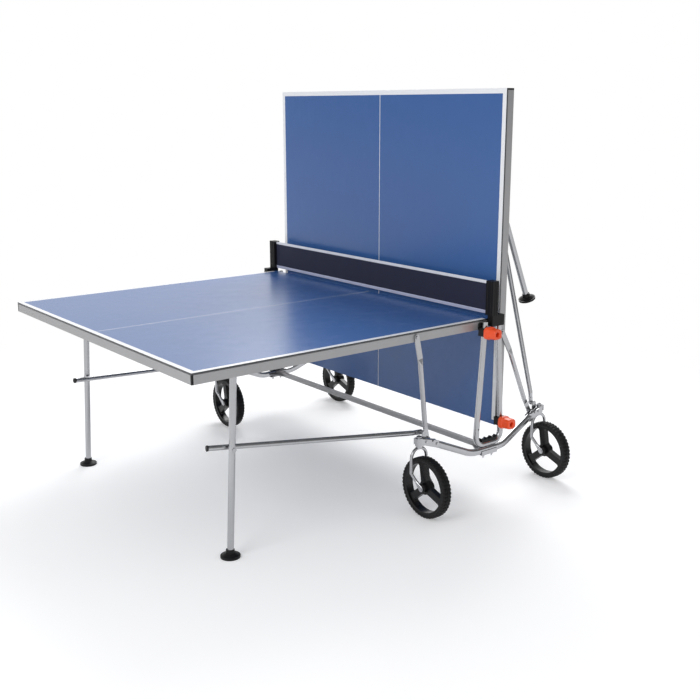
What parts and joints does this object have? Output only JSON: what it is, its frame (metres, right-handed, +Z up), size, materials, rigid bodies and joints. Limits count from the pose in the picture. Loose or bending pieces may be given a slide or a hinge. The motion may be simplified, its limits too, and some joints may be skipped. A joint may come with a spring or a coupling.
{
  "type": "folding table tennis table",
  "caption": "Folding table tennis table on casters, one half open for play and the other folded upright beside the net.",
  "frame": {"origin": "on the floor, below the middle of the whole table's outline as it stands, one half open and the other folded", "axes": "+X runs along the table from the open half towards the folded half, +Y across the table from the near side to the far side, +Z up"},
  "size_m": [1.8007, 1.7666, 1.663],
  "materials": {
    "panel": "satin blue laminate with white lines",
    "apron_silver": "satin silver coat",
    "beam_grey": "satin grey coat",
    "tube_zinc": "bright zinc",
    "bolt_steel": "bright zinc",
    "black_plastic": "fine-grained black",
    "orange_plastic": "orange moulded plastic",
    "net_cloth": "navy woven mesh",
    "net_tape": "white woven tape",
    "hem_tape": "pale lilac woven tape",
    "rim_plastic": "black moulded plastic",
    "tyre": "matt black rubber"
  },
  "bodies": {
    "chassis": {"rail_near": "tube_zinc", "rail_far": "tube_zinc", "post_near": "tube_zinc", "post_far": "tube_zinc", "cross_beam": "beam_grey", "saddles": "black_plastic", "clamps": "tube_zinc", "caster_brackets": "tube_zinc", "chassis_bolts": "bolt_steel", "net_post_near": "black_plastic", "net_post_far": "black_plastic", "net_mesh": "net_cloth", "net_top_tape": "net_tape", "net_bottom_tape": "hem_tape", "net_screws": "black_plastic"},
    "carriage_a": {"lock_near_a": "black_plastic", "lock_far_a": "black_plastic"},
    "half_a": {"panel_a": "panel", "apron_a": "apron_silver", "crossbars_a": "apron_silver", "leg_brackets_a": "black_plastic", "corner_caps_a": "black_plastic"},
    "strut_pair_a": {"struts_a": "tube_zinc"},
    "brace_pair_a": {"braces_a": "tube_zinc", "brace_caps_a": "black_plastic"},
    "leg_frame_a": {"leg_near_a": "tube_zinc", "leg_far_a": "tube_zinc", "leg_tie_a": "tube_zinc", "feet_a": "black_plastic"},
    "lever_near_a_body": {"lever_near_a": "orange_plastic"},
    "caster_near_a": {"fork_near_a": "tube_zinc"},
    "wheel_near_a": {"rim_near_a": "rim_plastic", "tyre_near_a": "tyre"},
    "lever_far_a_body": {"lever_far_a": "orange_plastic"},
    "caster_far_a": {"fork_far_a": "tube_zinc"},
    "wheel_far_a": {"rim_far_a": "rim_plastic", "tyre_far_a": "tyre"},
    "carriage_b": {"lock_near_b": "black_plastic", "lock_far_b": "black_plastic"},
    "half_b": {"panel_b": "panel", "apron_b": "apron_silver", "crossbars_b": "apron_silver", "leg_brackets_b": "black_plastic", "corner_caps_b": "black_plastic"},
    "strut_pair_b": {"struts_b": "tube_zinc"},
    "brace_pair_b": {"braces_b": "tube_zinc", "brace_caps_b": "black_plastic"},
    "leg_frame_b": {"leg_near_b": "tube_zinc", "leg_far_b": "tube_zinc", "leg_tie_b": "tube_zinc", "feet_b": "black_plastic"},
    "lever_near_b_body": {"lever_near_b": "orange_plastic"},
    "caster_near_b": {"fork_near_b": "tube_zinc"},
    "wheel_near_b": {"rim_near_b": "rim_plastic", "tyre_near_b": "tyre"},
    "lever_far_b_body": {"lever_far_b": "orange_plastic"},
    "caster_far_b": {"fork_far_b": "tube_zinc"},
    "wheel_far_b": {"rim_far_b": "rim_plastic", "tyre_far_b": "tyre"}
  },
  "joints": [
    {"name": "fold_a", "type": "hinge", "parent": "carriage_a", "child": "half_a", "pos_m": [0.42004, 0.0327, 0.738], "axis": [0, 1, 0], "range_deg": [0, 90]},
    {"name": "carriage_slide_a", "type": "slide", "parent": "chassis", "child": "carriage_a", "axis": [-0.0682, 0, -0.9977], "range_m": [0, 0.396]},
    {"name": "strut_swing_a", "type": "hinge", "parent": "chassis", "child": "strut_pair_a", "pos_m": [0.17004, 0.0327, 0.302], "axis": [0, 1, 0], "range_deg": [0, 42.24]},
    {"name": "brace_swing_a", "type": "hinge", "parent": "chassis", "child": "brace_pair_a", "pos_m": [0.14584, 0.0327, 0.332], "axis": [0, 1, 0], "range_deg": [0, 91.34]},
    {"name": "leg_swing_a", "type": "hinge", "parent": "half_a", "child": "leg_frame_a", "pos_m": [-0.65196, 0.0327, 0.706], "axis": [0, -1, 0], "range_deg": [0, 69.31]},
    {"name": "lever_turn_near_a", "type": "hinge", "parent": "carriage_a", "child": "lever_near_a_body", "pos_m": [0.43404, -0.7773, 0.71], "axis": [0, -1, 0], "range_deg": [0, 25]},
    {"name": "caster_swivel_near_a", "type": "hinge", "parent": "chassis", "child": "caster_near_a", "pos_m": [0.11604, -0.7113, 0.303], "axis": [0, 0, 1], "continuous": true},
    {"name": "wheel_spin_near_a", "type": "hinge", "parent": "caster_near_a", "child": "wheel_near_a", "pos_m": [0.11604, -0.7583, 0.125], "axis": [1, 0, 0], "continuous": true},
    {"name": "lever_turn_far_a", "type": "hinge", "parent": "carriage_a", "child": "lever_far_a_body", "pos_m": [0.43404, 0.8427, 0.71], "axis": [0, 1, 0], "range_deg": [0, 25]},
    {"name": "caster_swivel_far_a", "type": "hinge", "parent": "chassis", "child": "caster_far_a", "pos_m": [0.11604, 0.7767, 0.303], "axis": [0, 0, 1], "continuous": true},
    {"name": "wheel_spin_far_a", "type": "hinge", "parent": "caster_far_a", "child": "wheel_far_a", "pos_m": [0.11604, 0.7297, 0.125], "axis": [1, 0, 0], "continuous": true},
    {"name": "fold_b", "type": "hinge", "parent": "carriage_b", "child": "half_b", "pos_m": [0.55104, 0.0327, 0.343], "axis": [0, 1, 0], "range_deg": [0, 90]},
    {"name": "carriage_slide_b", "type": "slide", "parent": "chassis", "child": "carriage_b", "axis": [-0.0682, 0, 0.9977], "range_m": [0, 0.396]},
    {"name": "strut_swing_b", "type": "hinge", "parent": "chassis", "child": "strut_pair_b", "pos_m": [0.77404, 0.0327, 0.302], "axis": [0, 1, 0], "range_deg": [0, 42.24]},
    {"name": "brace_swing_b", "type": "hinge", "parent": "chassis", "child": "brace_pair_b", "pos_m": [0.79824, 0.0327, 0.332], "axis": [0, 1, 0], "range_deg": [0, 91.34]},
    {"name": "leg_swing_b", "type": "hinge", "parent": "half_b", "child": "leg_frame_b", "pos_m": [0.58304, 0.0327, 1.415], "axis": [0, -1, 0], "range_deg": [0, 69.31]},
    {"name": "lever_turn_near_b", "type": "hinge", "parent": "carriage_b", "child": "lever_near_b_body", "pos_m": [0.53704, -0.7773, 0.315], "axis": [0, -1, 0], "range_deg": [0, 25]},
    {"name": "caster_swivel_near_b", "type": "hinge", "parent": "chassis", "child": "caster_near_b", "pos_m": [0.82804, -0.7113, 0.303], "axis": [0, 0, 1], "continuous": true},
    {"name": "wheel_spin_near_b", "type": "hinge", "parent": "caster_near_b", "child": "wheel_near_b", "pos_m": [0.82804, -0.7583, 0.125], "axis": [1, 0, 0], "continuous": true},
    {"name": "lever_turn_far_b", "type": "hinge", "parent": "carriage_b", "child": "lever_far_b_body", "pos_m": [0.53704, 0.8427, 0.315], "axis": [0, 1, 0], "range_deg": [0, 25]},
    {"name": "caster_swivel_far_b", "type": "hinge", "parent": "chassis", "child": "caster_far_b", "pos_m": [0.82804, 0.7767, 0.303], "axis": [0, 0, 1], "continuous": true},
    {"name": "wheel_spin_far_b", "type": "hinge", "parent": "caster_far_b", "child": "wheel_far_b", "pos_m": [0.82804, 0.7297, 0.125], "axis": [1, 0, 0], "continuous": true}
  ],
  "couplings": [
    {"joint": "carriage_slide_a", "follows": "fold_a", "m_per_rad": 0.25205},
    {"joint": "strut_swing_a", "follows": "fold_a", "ratio": 0.46922},
    {"joint": "brace_swing_a", "follows": "fold_a", "ratio": 1.0148},
    {"joint": "leg_swing_a", "follows": "fold_a", "ratio": 0.77},
    {"joint": "carriage_slide_b", "follows": "fold_b", "m_per_rad": 0.25205},
    {"joint": "strut_swing_b", "follows": "fold_b", "ratio": 0.46922},
    {"joint": "brace_swing_b", "follows": "fold_b", "ratio": 1.0148},
    {"joint": "leg_swing_b", "follows": "fold_b", "ratio": 0.77}
  ]
}
